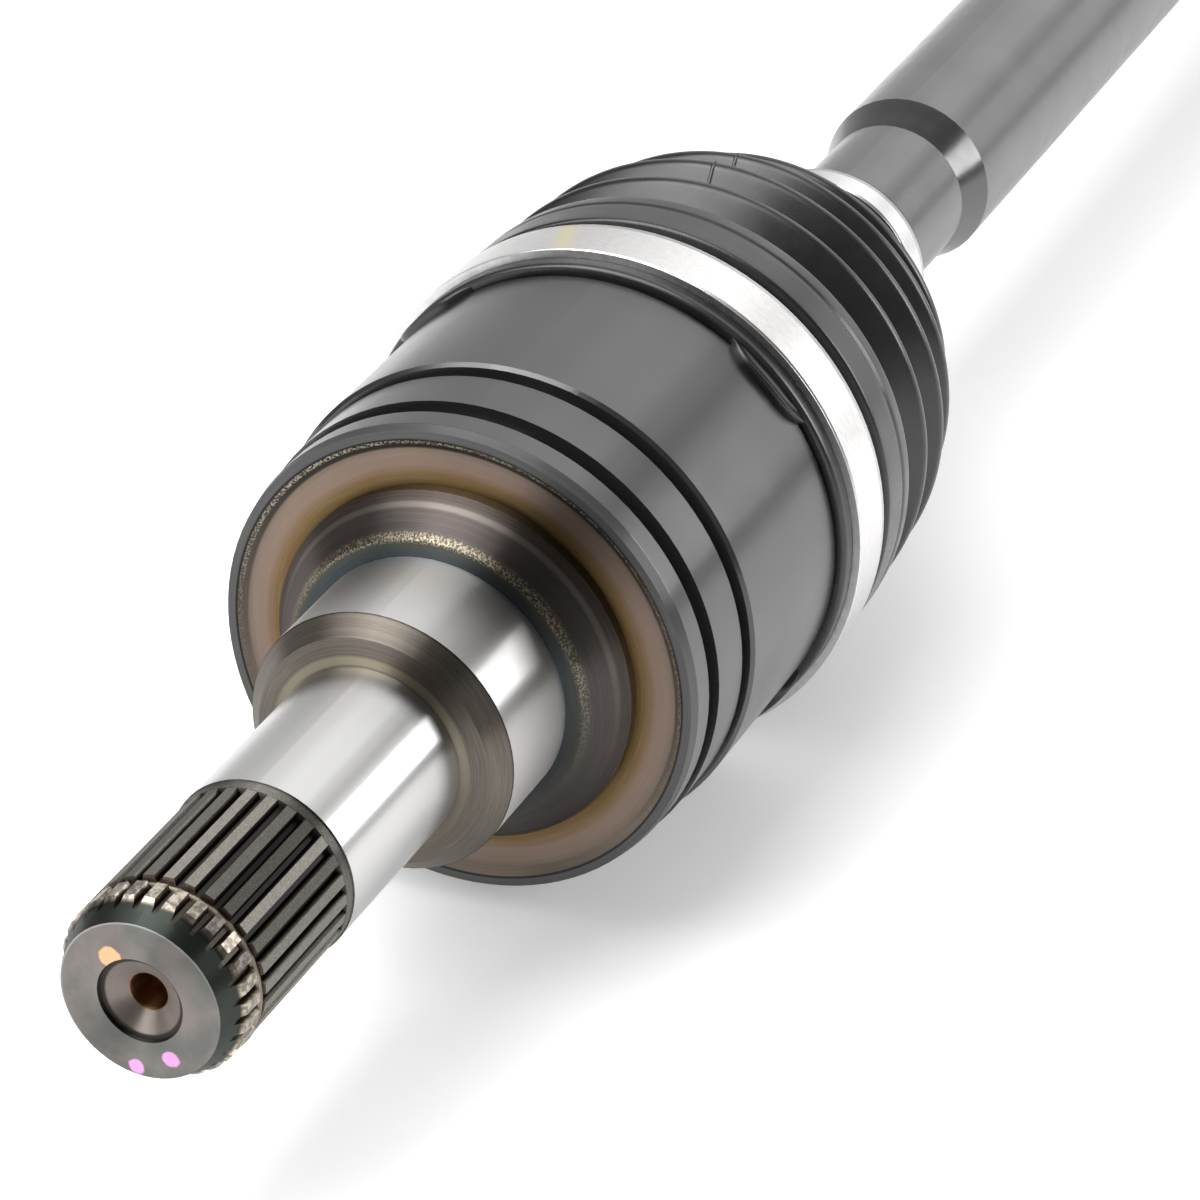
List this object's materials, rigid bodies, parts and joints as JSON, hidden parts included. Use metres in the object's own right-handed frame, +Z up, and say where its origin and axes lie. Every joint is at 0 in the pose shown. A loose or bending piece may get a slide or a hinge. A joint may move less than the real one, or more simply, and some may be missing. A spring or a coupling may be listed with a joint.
{
  "type": "axle shaft",
  "caption": "Front drive half shaft: splined stub and roller joint inboard, black bar, ball joint with threaded stub outboard, both joints in clamped rubber bellows.",
  "frame": {"origin": "centre of the large ground journal of the inboard stub, on the shaft's axis", "axes": "+X along the axis from the inboard spline to the outboard threaded end, +Z up"},
  "size_m": [0.7611, 0.0941, 0.0928],
  "materials": {
    "black_housing": "gloss black over bare turned steel at the stub",
    "black_bar": "gloss black paint",
    "ground_steel": "ground",
    "spring_steel": "dark oiled",
    "boot_rubber": "satin black",
    "clamp_steel": "bright stainless"
  },
  "bodies": {
    "inboard_housing": {"inboard_housing": "black_housing", "stub_clip": "spring_steel", "mouth_ring": "spring_steel", "inboard_large_clamp": "clamp_steel"},
    "inboard_boot": {"inboard_boot": "boot_rubber"},
    "shaft": {"shaft_bar": "black_bar", "tripod_spider": "ground_steel", "needle_rollers": "ground_steel", "roller_retainers": "spring_steel", "spider_end_ring": "spring_steel", "spider_stop_ring": "spring_steel", "race_ring": "spring_steel", "inner_race": "ground_steel", "inboard_small_clamp": "clamp_steel", "outboard_small_clamp": "clamp_steel", "outboard_boot": "boot_rubber"},
    "roller_1": {"roller_1": "ground_steel"},
    "roller_2": {"roller_2": "ground_steel"},
    "roller_3": {"roller_3": "ground_steel"},
    "cage": {"ball_cage": "ground_steel", "joint_balls": "ground_steel"},
    "bell": {"outboard_bell": "black_housing", "outboard_large_clamp": "clamp_steel"}
  },
  "joints": [
    {"name": "plunge", "type": "slide", "parent": "inboard_housing", "child": "inboard_boot", "axis": [1, 0, 0], "range_m": [-0.014, 0.012], "deforming": ["inboard_boot"]},
    {"name": "inboard_tilt", "type": "hinge", "parent": "inboard_boot", "child": "shaft", "pos_m": [0.06285, 0, 0], "axis": [0, 0, 1], "range_deg": [-18, 18], "deforming": ["inboard_boot"]},
    {"name": "outboard_half_tilt", "type": "hinge", "parent": "shaft", "child": "cage", "pos_m": [0.55685, 0, 0], "axis": [0, 0, 1], "range_deg": [-20, 20], "deforming": ["outboard_boot"]},
    {"name": "outboard_tilt", "type": "hinge", "parent": "cage", "child": "bell", "pos_m": [0.55685, 0, 0], "axis": [0, 0, 1], "range_deg": [-20, 20], "deforming": ["outboard_boot"]},
    {"name": "roller_1_spin", "type": "hinge", "parent": "shaft", "child": "roller_1", "pos_m": [0.06285, 0, 0.027], "axis": [0, 0, 1], "continuous": true},
    {"name": "roller_2_spin", "type": "hinge", "parent": "shaft", "child": "roller_2", "pos_m": [0.06285, -0.02338, -0.0135], "axis": [0, -0.866, -0.5], "continuous": true},
    {"name": "roller_3_spin", "type": "hinge", "parent": "shaft", "child": "roller_3", "pos_m": [0.06285, 0.02338, -0.0135], "axis": [0, 0.866, -0.5], "continuous": true}
  ],
  "couplings": [
    {"joint": "outboard_tilt", "follows": "outboard_half_tilt", "ratio": 1}
  ]
}
